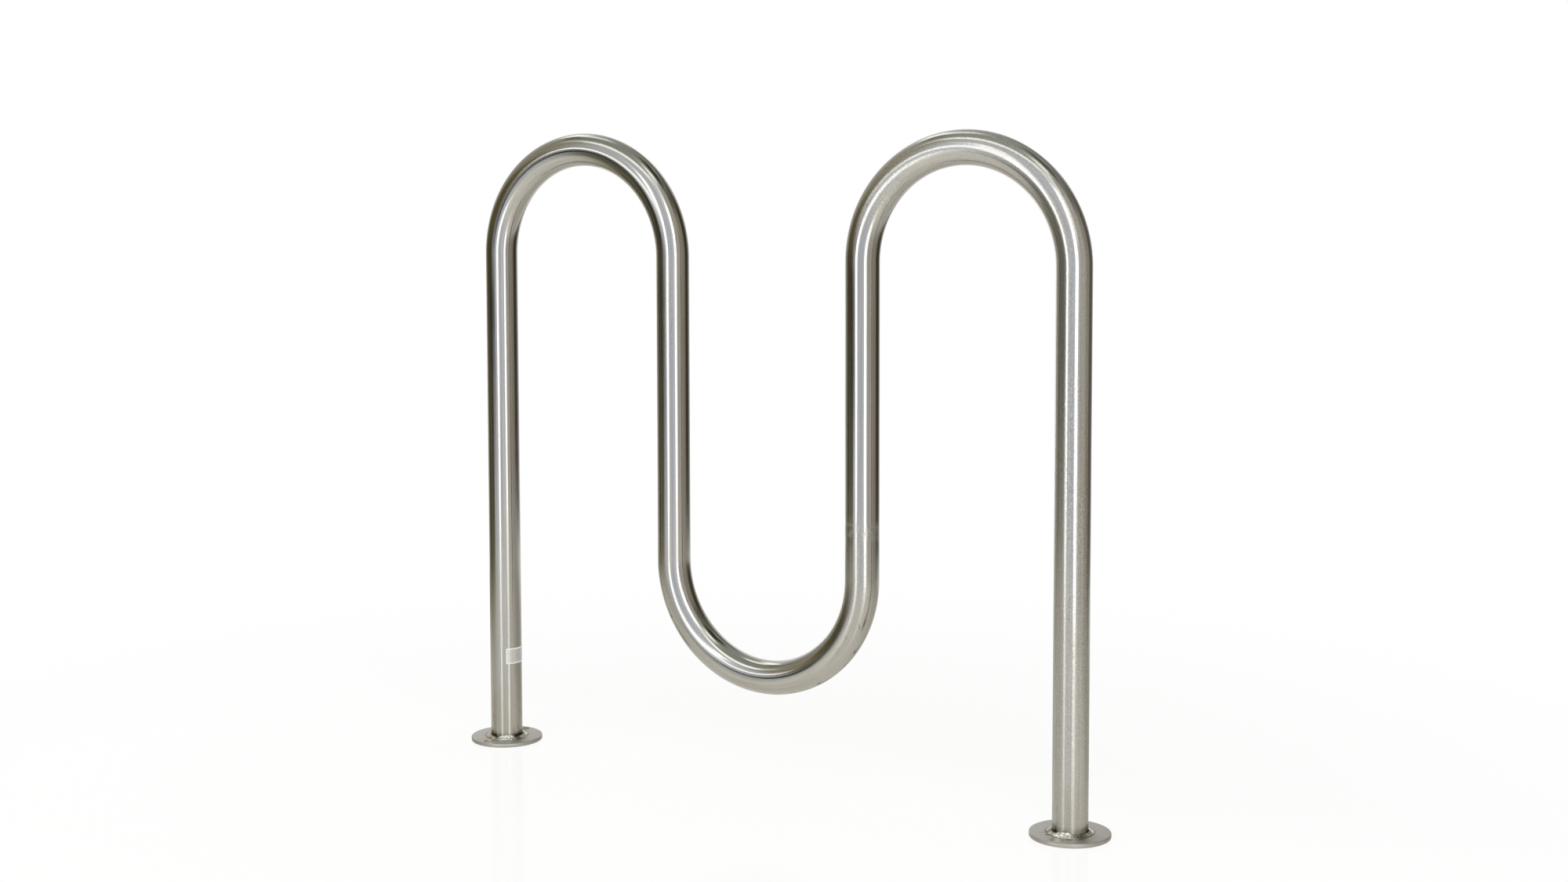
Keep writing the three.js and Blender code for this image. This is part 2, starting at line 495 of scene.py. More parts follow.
def tube_relief(settings, angle, distance, from_splice):
    """How far the surface falls short of a true round tube, so never above zero."""
    around = Vector((math.cos(angle), math.sin(angle), 0))
    drawn = noise.noise(DRAWN_WAVES * around + UP * distance / settings.wave_length)
    relief = settings.waviness * (drawn - 1) / 2
    ground = math.exp(-((from_splice / settings.splice_reach) ** 2))
    if ground > GROUND_LEAST:
        level = GROUND_SEED + from_splice / settings.splice_reach
        hit = noise.noise(GROUND_WAVES * around + UP * level)
        relief += settings.splice_dent * ground * (hit - 1) / 2
    return relief


def tube_faces(rings, sides):
    """The faces between each ring and the next, and where their corners lie on the map."""
    faces, corners = [], []
    for number, ((_, _, distance), _) in enumerate(rings):
        following = (number + 1) % len(rings)
        far = rings[following][0][2]
        here, there = number * sides, following * sides
        for side in range(sides):
            beside = (side + 1) % sides
            faces.append((here + side, here + beside, there + beside, there + side))
            low, high = side / sides, (side + 1) / sides
            corners += [(distance, low), (distance, high), (far, high), (far, low)]
    return faces, corners


def build_tube(name, stations, run_length, splice_distance, settings):
    """A length of tube with its bore, on the stations given."""
    last = len(stations) - 1
    bore = [s for i, s in enumerate(stations) if i % BORE_EVERY == 0 or i == last]
    rings = [(s, True) for s in stations] + [(s, False) for s in reversed(bore)]
    vertices, straightened = [], []
    marks = {"from_foot": [], "from_splice": [], "scuffed": [], "satin": []}
    for (place, heading, distance), outer in rings:
        inside = Vector((heading.z, 0, -heading.x))
        from_splice = distance - splice_distance
        lowness = (LOW_BEND_Z - place.z) / BEND_RADIUS if abs(place.x) < INNER_X else 0
        for side in range(settings.sides):
            angle = 2 * math.pi * side / settings.sides
            reach = TUBE_RADIUS - settings.wall
            if outer:
                reach = TUBE_RADIUS + tube_relief(settings, angle, distance, from_splice)
            across, along_back = math.cos(angle), math.sin(angle)
            vertices.append(place + reach * (across * inside - along_back * BACK))
            straightened.append((reach * across, reach * along_back, distance))
            marks["from_foot"].append(min(distance, run_length - distance))
            marks["from_splice"].append(from_splice)
            marks["scuffed"].append(clamped(lowness) * max(0, across))
            marks["satin"].append(clamped((place.x - INNER_X) / settings.satin_start))
    faces, corners = tube_faces(rings, settings.sides)
    mesh = smooth_mesh(name, vertices, faces)
    layer = mesh.uv_layers.new(name="along")
    layer.data.foreach_set("uv", [x for u, v in corners for x in (u / MAP_LENGTH, v)])
    set_vectors(mesh, "straightened", straightened)
    for mark, strengths in marks.items():
        set_attribute(mesh, mark, strengths)
    foot_marks(mesh)
    sharpen(mesh, settings.sharp_angle)
    return new_object(name, mesh)


def tube_wear(s, place):
    """Where the tube has pits, in patches, and dots and scratches on the low bend's underside."""
    scuffed = s.attribute("scuffed")
    worn = s.ramp(scuffed, 0.02, 0.4)
    patchy = s.add(s.noise(place, 60, 1), s.times(scuffed, 0.12))
    pitted = s.times(s.fade(s.scattered(place, 160), 0.05, 0.11), s.ramp(patchy, 0.56, 0.62))
    dotted = s.times(s.fade(s.scattered(place, 48), 0.03, 0.06),
                     s.ramp(s.noise(place, 31, 1), 0.47, 0.51), worn)
    wandering = s.unsigned(s.less(s.noise(s.drawn_out(place, 0.4), 30), 0.5))
    scratched = s.times(s.fade(wandering, 0.004, 0.016), s.ramp(s.noise(place, 42), 0.53, 0.58), worn)
    return s.most(pitted, dotted, scratched)


def tube_soot(s, steel, place, from_foot):
    """Lays the smoke over the steel above a foot's weld. Gives the steel, and where it is scorched."""
    soot = s.attribute("soot")
    streaky = s.noise(s.drawn_out(place, 0.3), 160, 3)
    over_weld = s.less(from_foot, s.times(streaky, SOOT_WANDER))
    smoked = s.times(s.fade(over_weld, *SMOKE_HEIGHTS), s.ramp(soot, 0.05, 0.9),
                     s.ramp(streaky, 0.35, 0.62))
    wisps = s.ramp(s.noise(s.drawn_out(place, 0.4), 210, 3), 0.52, 0.66)
    drifted = s.times(s.fade(over_weld, *DRIFT_HEIGHTS), s.ramp(soot, 0.02, 0.6), wisps)
    scorched = s.times(s.fade(over_weld, *SCORCH_HEIGHTS), s.ramp(soot, 0.1, 0.9))
    steel = s.cover(steel, smoked, *SMOKE)
    steel = s.cover(steel, drifted, *DRIFTED_SOOT)
    return s.cover(steel, scorched, *SCORCH), scorched


def tube_material(settings):
    """Polished tube, drawn out lengthwise. The right hoop is satin, and the splice is ground matt."""
    s = new_shader("polished_tube")
    place = s.attribute("straightened", "Vector")
    from_foot = s.attribute("from_foot")
    satin = s.attribute("satin")
    drawn = s.noise(s.drawn_out(place, 0.012), 620, 3)
    clouds = s.noise(s.drawn_out(place, 0.3), 34, 3)
    speckled = s.ramp(s.noise(s.drawn_out(place, 0.35), 17), 0.45, 0.62)
    grain = s.noise(place, 430)
    grainy = s.add(s.times(speckled, 0.6), s.times(satin, 0.6))
    wear = tube_wear(s, place)

    steel = s.shades(s.ramp(drawn, 0.35, 0.65), settings.steel, 0.93, 1.05)
    steel = s.cover(steel, s.ramp(clouds, 0.45, 0.75), 0.3, settings.stain)
    steel = s.cover(steel, s.times(s.ramp(grain, 0.56, 0.68), grainy), *LIGHT_GRAIN)
    steel = s.cover(steel, s.times(s.fade(grain, 0.32, 0.44), grainy), *DARK_GRAIN)
    stained = s.times(s.fade(from_foot, *STAIN_HEIGHTS), s.ramp(clouds, 0.4, 0.6))
    steel = s.cover(steel, stained, 0.35, settings.stain)
    steel = s.cover(steel, wear, *WEAR)
    steel, scorched = tube_soot(s, steel, place, from_foot)

    from_splice = s.unsigned(s.attribute("from_splice"))
    ground = s.fade(from_splice, GROUND_START, settings.splice_reach)
    matted = s.times(ground, s.ramp(s.noise(place, 95, 3), 0.42, 0.62))
    roughness = s.add(
        settings.roughness, s.times(s.ramp(clouds, 0.4, 0.75), 0.03), s.times(speckled, 0.03),
        s.times(satin, 0.02), s.times(matted, 0.2), s.times(scorched, 0.3))
    height = s.add(
        s.times(s.noise(place, 950), s.add(s.times(speckled, 0.9), 0.1)), s.times(matted, 1.2),
        s.times(grain, s.add(s.times(satin, 1.5), s.times(speckled, 0.7))), s.times(wear, -1.2))
    lines = s.bump(drawn, DRAWN_LINE_DEPTH)
    tangent = s.node("ShaderNodeTangent", direction_type="UV_MAP", uv_map="along")
    return s.finish("ShaderNodeBsdfPrincipled", {
        "Base Color": steel, "Metallic": s.less(1.0, s.times(satin, settings.haze)),
        "Roughness": roughness, "Anisotropic": settings.stretch, "Tangent": tangent.outputs[0],
        "Normal": s.bump(height, SPOT_DEPTH, over=lines)})


# Base plates

PLATE_SIDES = 144
HOLE_SIDES = 48
EDGE_STEPS = 3
MERGE_DISTANCE = 0.01 * MM
SUNK_SHARE = 1.5  # of the edge break, from where a hole's wall counts as inside
HOLE_WALL_SHARE = 1.1  # of the hole's radius, to where a point counts as on its wall

PLATE_GRAIN_DEPTH = 0.03 * MM
MARK_WANDER = 6 * MM
TINT_REACH = (1 * MM, 7 * MM)  # from the weld's toe
BURN_REACH = (5 * MM, 15 * MM)
GROOVE_PLACE = 0.6 * MM
GROOVE_EDGE = (0.25 * MM, 0.75 * MM)

# The most that each mark covers of the plate, and its colour
BRUSHED = 0.25, (0.3, 0.28, 0.25)
TINT = 0.35, (0.36, 0.33, 0.25)
BURN = 0.7, (0.13, 0.09, 0.06)
# Near black in the groove at the weld's toe: painted shade
GROOVE_SHADE = 0.7, (0.08, 0.07, 0.05)


def add_circle(outline, centre_y, radius, sides):
    spline = outline.splines.new("POLY")
    spline.points.add(sides - 1)
    for side, point in enumerate(spline.points):
        angle = 2 * math.pi * side / sides
        point.co = (radius * math.cos(angle), centre_y + radius * math.sin(angle), 0, 1)
    spline.use_cyclic_u = True


def plate_blank(name, radius, thickness, settings):
    """The plate's mesh, about its own middle, from a filled outline with its holes."""
    outline = bpy.data.curves.new(name, "CURVE")
    outline.dimensions = "2D"
    outline.fill_mode = "BOTH"
    outline.extrude = thickness / 2 - settings.edge_break
    outline.bevel_depth = settings.edge_break
    outline.offset = -settings.edge_break
    outline.bevel_resolution = EDGE_STEPS
    add_circle(outline, 0, radius, PLATE_SIDES)
    for side in (-1, 1):
        add_circle(outline, side * settings.hole_circle, settings.hole_radius, HOLE_SIDES)
    blank = new_object(name + "_outline", outline)
    bpy.context.view_layer.update()
    depsgraph = bpy.context.evaluated_depsgraph_get()
    mesh = bpy.data.meshes.new_from_object(blank.evaluated_get(depsgraph))
    bpy.data.objects.remove(blank)
    mesh.name = name
    return mesh


def clean(mesh):
    """Merges the points that lie together and turns every face outwards."""
    shape = bmesh.new()
    shape.from_mesh(mesh)
    bmesh.ops.remove_doubles(shape, verts=shape.verts, dist=MERGE_DISTANCE)
    bmesh.ops.recalc_face_normals(shape, faces=shape.faces)
    shape.to_mesh(mesh)
    shape.free()


def build_plate(side, settings):
    """A round flange with two anchor holes and rounded edges."""
    low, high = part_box(side + "_base_plate")
    thickness = high.z - low.z
    x = FOOT_PLACES[side]
    mesh = plate_blank(side + "_flange", (high.x - low.x) / 2, thickness, settings)
    mesh.transform(Matrix.Translation((x, 0, low.z + thickness / 2)))
    clean(mesh)
    in_hole = []
    for vertex in mesh.vertices:
        from_hole = math.hypot(vertex.co.x - x, abs(vertex.co.y) - settings.hole_circle)
        on_wall = from_hole < HOLE_WALL_SHARE * settings.hole_radius
        sunk = high.z - vertex.co.z > SUNK_SHARE * settings.edge_break
        in_hole.append(1.0 if on_wall and sunk else 0.0)
    set_attribute(mesh, "in_hole", in_hole)
    foot_marks(mesh)
    sharpen(mesh, settings.sharp_angle)
    return new_object(mesh.name, mesh)


def plate_weld_marks(s, steel, place, middle):
    """Lays the weld's tint and burns over the plate, and painted shade in the groove at the weld's toe.
    Gives the steel, and the groove.
    """
    from_middle = s.vector_math("DISTANCE", place, middle)["Value"]
    from_toe = s.less(from_middle, WELD_RADIUS)
    ragged = s.add(from_toe, s.times(s.noise(place, 70), MARK_WANDER))
    burnt = s.times(s.fade(ragged, *BURN_REACH), s.attribute("burn"),
                    s.ramp(s.noise(place, 110, 3), 0.42, 0.6))
    # A ring round the weld's toe, sunk by the bump and darkened with painted shade
    groove = s.fade(s.unsigned(s.less(from_toe, GROOVE_PLACE)), *GROOVE_EDGE)
    steel = s.cover(steel, s.fade(ragged, *TINT_REACH), *TINT)
    steel = s.cover(steel, burnt, *BURN)
    return s.cover(steel, groove, *GROOVE_SHADE), groove


def plate_material(settings, middle=None):
    """Brushed steel. Round a middle it also has the marks of the weld, and walls of the anchor holes
    painted lighter, as painted light against the shade inside them.
    """
    s = new_shader("brushed_plate")
    place = s.position()
    brushed = s.noise(s.vector_math("MULTIPLY", place, (0.08, 1, 1))[0], 1300, 3, 0.6)
    cloudy = s.ramp(s.noise(place, 45, 3), 0.3, 0.7)
    steel = s.shades(cloudy, settings.steel, 0.94, 1.05)
    steel = s.cover(steel, s.ramp(brushed, 0.5, 0.8), *BRUSHED)
    roughness = s.add(settings.roughness, s.times(cloudy, 0.08))
    height = s.times(brushed, 0.3)
    metal = 1.0
    if middle:
        steel, groove = plate_weld_marks(s, steel, place, middle)
        height = s.less(height, groove)
        # The holes' walls: less metallic and painted lighter, as painted light against the shade inside
        # them
        in_hole = s.attribute("in_hole")
        steel = s.mix(in_hole, steel, settings.hole_wall_painted_lighter)
        roughness = s.add(roughness, s.times(in_hole, 0.3))
        metal = s.less(1.0, s.times(in_hole, 0.8))
    return s.finish("ShaderNodeBsdfPrincipled", {
        "Base Color": steel, "Metallic": metal, "Roughness": roughness,
        "Normal": s.bump(height, PLATE_GRAIN_DEPTH, 0.8)})


# Foot welds

ROOT_DEPTH = 0.3 * MM  # from the tube's surface into its wall
COARSE_LUMPS = (5, 2)  # waves round the bead and up its face
FINE_LUMPS = (14, 4)
FINE_SHARE = 0.5
TOP_WAVES = 7
TOP_SEED = 9
LIFT_SHARE = 0.6  # of a lump that also lifts the face

BEAD_BUMP_DEPTH = 0.35 * MM
BEAD_STAIN = 0.35, (0.24, 0.21, 0.14)
BEAD_BROWN = 0.75, (0.12, 0.085, 0.05)
# Near black: scorch at the tube on the soot arcs, and painted shade in the crease along the bead's top
# edge
BEAD_SCORCH_AND_CREASE_SHADE = 0.9, (0.05, 0.038, 0.022)


def turned_ring(name, profile, steps, relief):
    """A ring turned about the upright axis, from a closed profile of radius and height."""
    vertices, faces = [], []
    count = len(profile)
    for step in range(steps):
        angle = 2 * math.pi * step / steps
        for index, (radius, height) in enumerate(profile):
            out, up = relief(angle, index)
            reach = radius + out
            vertices.append((reach * math.cos(angle), reach * math.sin(angle), height + up))
    for step in range(steps):
        here, there = step * count, (step + 1) % steps * count
        for index in range(count):
            beside = (index + 1) % count
            faces.append((here + index, there + index, there + beside, here + beside))
    return smooth_mesh(name, vertices, faces)


def bead_profile(height, settings):
    """The bead's root, and then its face from the toe up to the tube."""
    root = TUBE_RADIUS - ROOT_DEPTH
    corner = root + settings.bulge_share * (WELD_RADIUS - root)
    profile = [(root, 0)]
    for step in range(settings.profile_steps + 1):
        share = step / settings.profile_steps
        toe_part, corner_part, top_part = (1 - share) ** 2, 2 * share * (1 - share), share ** 2
        radius = toe_part * WELD_RADIUS + corner_part * corner + top_part * root
        profile.append((radius, (corner_part * settings.bulge_share + top_part) * height))
    return profile


def build_foot_weld(side, settings):
    """A fillet bead that is lumpy where it was laid last and plain where it was laid over."""
    low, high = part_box(side + "_foot_weld")
    profile = bead_profile(high.z - low.z, settings)
    # how far up the face each point of the profile lies
    shares = [max(0, index - 1) / settings.profile_steps for index in range(len(profile))]

    def lumpy(around, share, waves):
        return noise.noise(waves[0] * around + waves[1] * share * UP)

    def relief(angle, index):
        share = shares[index]
        around = Vector((math.cos(angle), math.sin(angle), FOOT_PLACES[side]))
        # The arcs where the bead is fuller and lumpier; weld_material also paints a highlight on them
        lumps_and_painted_highlight = arc_strength(FOOT_MARKS["lumps_and_painted_highlight"][side], around.x, around.y)
        full = settings.plain_height_share + (1 - settings.plain_height_share) * lumps_and_painted_highlight
        full -= settings.top_wander * (0.5 + 0.5 * noise.noise(TOP_WAVES * around + TOP_SEED * UP))
        lump = lumpy(around, share, COARSE_LUMPS) + FINE_SHARE * lumpy(around, share, FINE_LUMPS) - 1
        lump *= settings.lumps * math.sin(math.pi * share)
        lump *= settings.plain_lumps + (1 - settings.plain_lumps) * lumps_and_painted_highlight
        return lump, profile[index][1] * (full - 1) + LIFT_SHARE * lump

    mesh = turned_ring(side + "_weld_bead", profile, settings.steps, relief)
    set_attribute(mesh, "share", shares * settings.steps)
    mesh.transform(Matrix.Translation((FOOT_PLACES[side], 0, low.z)))
    foot_marks(mesh)
    return new_object(mesh.name, mesh)


def weld_material(settings):
    """Faceted with a near-white painted highlight on the bead's lumpy arcs, brown where it is burnt, and
    black at the tube: scorch on the soot arcs, and painted shade in the crease all round.
    """
    s = new_shader("weld_bead")
    place = s.position()
    burn, lumps_and_painted_highlight = s.attribute("burn"), s.attribute("lumps_and_painted_highlight")
    clouds = s.noise(place, 150, 3)
    # Near white on the lumpy arcs: a painted highlight
    steel = s.mix(lumps_and_painted_highlight, settings.dull, settings.bright)
    steel = s.cover(steel, s.ramp(clouds, 0.5, 0.62), *BEAD_STAIN)
    steel = s.cover(steel, s.times(burn, s.ramp(clouds, 0.45, 0.58)), *BEAD_BROWN)
    ragged = s.add(s.attribute("share"), s.times(s.noise(place, 160), 0.4))
    near_tube = s.times(s.ramp(ragged, 0.95, 1.1), s.ramp(s.attribute("soot"), 0.1, 0.7))
    # crevice is painted shade in the crease all round the bead's top edge, where it meets the tube;
    # scorched joins it to the scorch on the soot arcs
    crevice = s.times(s.ramp(ragged, 1.08, 1.18), 0.7)
    scorched = s.most(near_tube, crevice)
    steel = s.cover(steel, scorched, *BEAD_SCORCH_AND_CREASE_SHADE)
    roughness = s.add(s.ramp(clouds, 0.3, 0.7, 0.26, 0.36), s.times(scorched, 0.2),
                      s.times(lumps_and_painted_highlight, 0.06))
    lively = s.add(s.times(lumps_and_painted_highlight, 1.8), s.times(burn, 0.8))
    height = s.add(s.times(clouds, 0.5), s.times(s.noise(place, 600, 3), 0.12),
                   s.times(s.scattered(place, 400), lively))
    return s.finish("ShaderNodeBsdfPrincipled", {
        "Base Color": steel, "Metallic": 1.0, "Roughness": roughness,
        "Normal": s.bump(height, BEAD_BUMP_DEPTH)})


# Label

LABEL_COLUMNS = 46
LABEL_ROWS = 26
LABEL_GAP = 0.02 * MM  # from the tube to the label's underside
BORDER_EDGE = 0.15 * MM
LABEL_WEAR = 0.2, (0.4, 0.39, 0.36)


def label_size():
    """The label's width round the tube, and its height."""
    low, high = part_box("blank_label")
    half_angle = math.asin(min(1, high.y / (high.x + FOOT_X)))
    return 2 * half_angle * TUBE_RADIUS, high.z - low.z


def rounded(across, up, width, height, corner):
    """Moves the outermost points of the sheet in round its corners."""
    in_x, in_y = width / 2 - corner, height / 2 - corner
    over_x, over_y = abs(across) - in_x, abs(up) - in_y
    if over_x > 0 and over_y > 0:
        share = max(over_x, over_y) / math.hypot(over_x, over_y)
        across = math.copysign(in_x + over_x * share, across)
        up = math.copysign(in_y + over_y * share, up)
    return across, up


def sheet_faces(columns, rows):
    """Faces of a sheet of two layers, and of the rim that joins them."""
    per_row = columns + 1
    layer = per_row * (rows + 1)
    faces = []
    for row in range(rows):
        for column in range(columns):
            start = row * per_row + column
            quad = (start, start + 1, start + per_row + 1, start + per_row)
            faces.append(quad)
            faces.append(tuple(layer + i for i in reversed(quad)))
    rim = list(range(columns))
    rim += [columns + row * per_row for row in range(rows)]
    rim += [rows * per_row + column for column in range(columns, 0, -1)]
    rim += [row * per_row for row in range(rows, 0, -1)]
    for here, there in zip(rim, rim[1:] + rim[:1]):
        faces.append((there, here, layer + here, layer + there))
    return faces


def build_label(settings):
    """A thin sheet bent round the left leg, towards the hoop's inside."""
    low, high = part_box("blank_label")
    width, height = label_size()
    vertices, sheet = [], []
    for radius in (TUBE_RADIUS + settings.film, TUBE_RADIUS + LABEL_GAP):
        for row in range(LABEL_ROWS + 1):
            for column in range(LABEL_COLUMNS + 1):
                across, up = (column / LABEL_COLUMNS - 0.5) * width, (row / LABEL_ROWS - 0.5) * height
                across, up = rounded(across, up, width, height, settings.corner)
                angle = across / TUBE_RADIUS
                vertices.append((radius * math.cos(angle) - FOOT_X, radius * math.sin(angle),
                                 (low.z + high.z) / 2 + up))
                sheet.append((across, up, 0))
    mesh = smooth_mesh("bare_label", vertices, sheet_faces(LABEL_COLUMNS, LABEL_ROWS))
    set_vectors(mesh, "sheet", sheet)
    return new_object("bare_label", mesh)


def label_material(settings):
    """Silver film with a plain border, slightly worn."""
    s = new_shader("label_film")
    width, height = label_size()
    sheet = s.node("ShaderNodeSeparateXYZ", {0: s.attribute("sheet", "Vector")}).outputs
    from_side = s.less(width / 2, s.unsigned(sheet["X"]))
    from_end = s.less(height / 2, s.unsigned(sheet["Y"]))
    inward = s.math("MINIMUM", from_side, from_end)
    field = s.ramp(inward, settings.border - BORDER_EDGE, settings.border + BORDER_EDGE)
    worn = s.noise(s.position(), 140, 3)
    film = s.mix(field, settings.border_colour, settings.field)
    film = s.cover(film, s.ramp(worn, 0.45, 0.75), *LABEL_WEAR)
    return s.finish("ShaderNodeBsdfPrincipled", {
        "Base Color": film, "Metallic": s.times(field, settings.sheen),
        "Roughness": s.ramp(worn, 0.3, 0.7, 0.24, 0.34)})


# Floor, card and lights

FLOOR_SIDES = 128
FLOOR_IOR = 1.6
SHADOW_RADIUS = 0.3  # the floor turns to plain white from here
WHITE_SHARE = 0.95  # to here, of the floor's radius
REAR_START = (0.0, 0.35)  # how far behind the rack the rear floor colour sets in
BACKDROP_START = (0.9, 1.6)  # and the floor that mirrors show as backdrop
LEFT_START = (-1.7, -1.0)
STRIP_PLACES = {"left_strip": (-0.28, -2.02), "right_strip": (1.4, -1.14)}
LOW_STRIP_PLACE = (-1.5, -2.45, 1.38)
CARD_LEFT = Vector((-6.5, -2.6, 0))
CARD_RIGHT = Vector((-1.7, -4.1, 0))
CARD_COLOUR = (0.04, 0.04, 0.035)


def floor_material(settings):
    """A pale floor that keeps the shadow near the rack and runs out into the white backdrop."""
    s = new_shader("studio_floor")
    place = s.position()
    split = s.node("ShaderNodeSeparateXYZ", {0: place}).outputs
    from_middle = s.vector_math("LENGTH", place)["Value"]
    fade = s.ramp(from_middle, SHADOW_RADIUS, settings.floor_radius * WHITE_SHARE,
                  settings.floor_white, 1)
    rays = s.node("ShaderNodeLightPath").outputs
    as_backdrop = s.times(s.reflected(rays), s.ramp(split["Y"], *BACKDROP_START))
    shown = s.times(s.most(rays["Is Camera Ray"], as_backdrop), fade)
    tone = s.mix(s.ramp(split["Y"], *REAR_START), settings.floor_colour, settings.rear_floor_colour)
    tone = s.mix(s.fade(split["X"], *LEFT_START), tone, settings.left_floor_colour)
    lit = s.node("ShaderNodeBsdfPrincipled", {
        "Base Color": tone, "Roughness": settings.floor_roughness, "IOR": FLOOR_IOR})
    white = s.node("ShaderNodeEmission", {"Color": WHITE, "Strength": 1.0})
    return s.finish("ShaderNodeMixShader", {0: shown, 1: lit.outputs[0], 2: white.outputs[0]})


def build_floor(settings):
    mesh = bpy.data.meshes.new("floor")
    disc = bmesh.new()
    bmesh.ops.create_circle(disc, cap_ends=True, segments=FLOOR_SIDES, radius=settings.floor_radius)
    disc.to_mesh(mesh)
    disc.free()
    mesh.materials.append(floor_material(settings))
    return new_object("floor", mesh)


def build_card(settings):
    """A dark card far out in front on the left, which gives the polish a dark line to mirror."""
    top = settings.card_height * UP
    corners = [CARD_LEFT, CARD_RIGHT, CARD_RIGHT + top, CARD_LEFT + top]
    mesh = smooth_mesh("dark_card", corners, [(0, 1, 2, 3)])
    mesh.materials.append(new_shader("dark_card").finish("ShaderNodeBsdfDiffuse", {"Color": CARD_COLOUR}))
    card = new_object("dark_card", mesh)
    card.visible_camera = False
    return card


def strip_light(name, place, width, height, radiance):
    """Adds a flat strip light that faces the rack."""
    lamp = bpy.data.lights.new(name, "AREA")
    lamp.shape = "RECTANGLE"
    lamp.size = width
    lamp.size_y = height
    lamp.energy = radiance * math.pi * width * height
    light = new_object(name, lamp)
    x, y, _ = place
    light.location = place
    light.rotation_euler = Vector((x, y, 0)).to_track_quat("Z", "Y").to_euler()
    light.visible_camera = False


def build_lights(settings):
    """Two upright strips in front of the rack, and a level one between them and the left."""
    for name, (x, y) in STRIP_PLACES.items():
        strip_light(name, (x, y, settings.strip_height / 2), settings.strip_width,
                    settings.strip_height, settings.strip_radiance)
    strip_light("low_strip", LOW_STRIP_PLACE, settings.low_strip_length, settings.low_strip_width,
                settings.strip_radiance)


# Room round the rack

DEGREES = 180 / math.pi
BELOW, ABOVE = -120, 120  # past straight down and straight up
ROOM_COLOUR = (0.56, 0.55, 0.51)

# Panels, each in front of those before it, as azimuths, elevations, softness of the edge and colour
WALL_PANELS = (
    # in front of the rack, on the camera's side
    ((-42, 60), (BELOW, ABOVE), 10, (0.8, 0.85, 0.92)),
    ((31, 48), (BELOW, ABOVE), 4, (0.92, 0.96, 1.06)),
    # on the right
    ((60, 160), (BELOW, ABOVE), 9, (0.62, 0.59, 0.53)),
    ((100, 150), (BELOW, 46), 10, (0.36, 0.33, 0.26)),
    ((128, 166), (BELOW, 34), 5, (0.08, 0.065, 0.05)),
    ((100, 196), (32, 46), 5, (0.14, 0.14, 0.11)),
    # on the left
    ((-121, -38), (BELOW, ABOVE), 10, (0.5, 0.49, 0.43)),
    ((-130, -100), (BELOW, 3), 8, (0.46, 0.45, 0.39)),
    ((-92, -48), (6, 42), 6, (0.4, 0.37, 0.27)),
    ((-94, -40), (BELOW, 10), 5, (0.17, 0.16, 0.1)),
    ((-88, -72), (BELOW, 12), 4, (0.1, 0.075, 0.04)),
    ((-60, -36), (-20, 2), 4, (0.11, 0.12, 0.08)),
    ((-86, -42), (0, 18), 4, (0.15, 0.125, 0.05)),
    # overhead
    ((-181, 181), (50, ABOVE), 6, (0.42, 0.44, 0.4)),
    ((100, 165), (50, 72), 5, (0.04, 0.05, 0.03)),
    ((-112, -80), (46, 57), 3, (0.16, 0.18, 0.13)),
)
# Rows of ceiling light, as places along X and Y in shares of the ceiling's height, and colour
CEILING_ROWS = (
    ((-0.72, 0.5), (-0.74, -0.46), (2.0, 2.04, 1.96)),
    ((-1.05, -0.72), (-0.6, -0.36), (0.85, 0.84, 0.74)),
    ((0.3, 0.6), (-0.27, 0.02), (1.9, 1.94, 1.88)),
    ((-0.72, -0.3), (0.2, 0.45), (1.75, 1.8, 1.72)),
    ((-1.1, -0.72), (0.36, 0.92), (2.1, 2.14, 2.08)),
)
HANGING_PANELS = (
    ((48, 62), (14, 60), 4, (1.6, 1.6, 1.58)),
    ((150, 160), (50, 57), 2, (0.8, 0.82, 0.78)),
    ((164, 184), (34, 44), 3, (0.16, 0.16, 0.13)),
)
# A light behind on the left, where the tubes' backs mirror it
BACK_LIGHT = ((-127, -121), (BELOW, 4), 1.5, (1.8, 1.8, 1.75))
# How the streaks are squeezed along X, Y and Z, their scale and their strength
STREAKS = (((1, 1, 0.06), 26, 0.5), ((0.1, 0.1, 1), 20, 0.4))
# The white backdrop behind the rack, as the camera sees it, in degrees
BACKDROP_AZIMUTH = -149
BACKDROP_SIDES = (19, 28)
BACKDROP_TOP = (26, 34)
ROW_EDGE = 0.02
CEILING_START = (0.1, 0.2)  # of the direction's height
LEAST_CEILING = 0.05


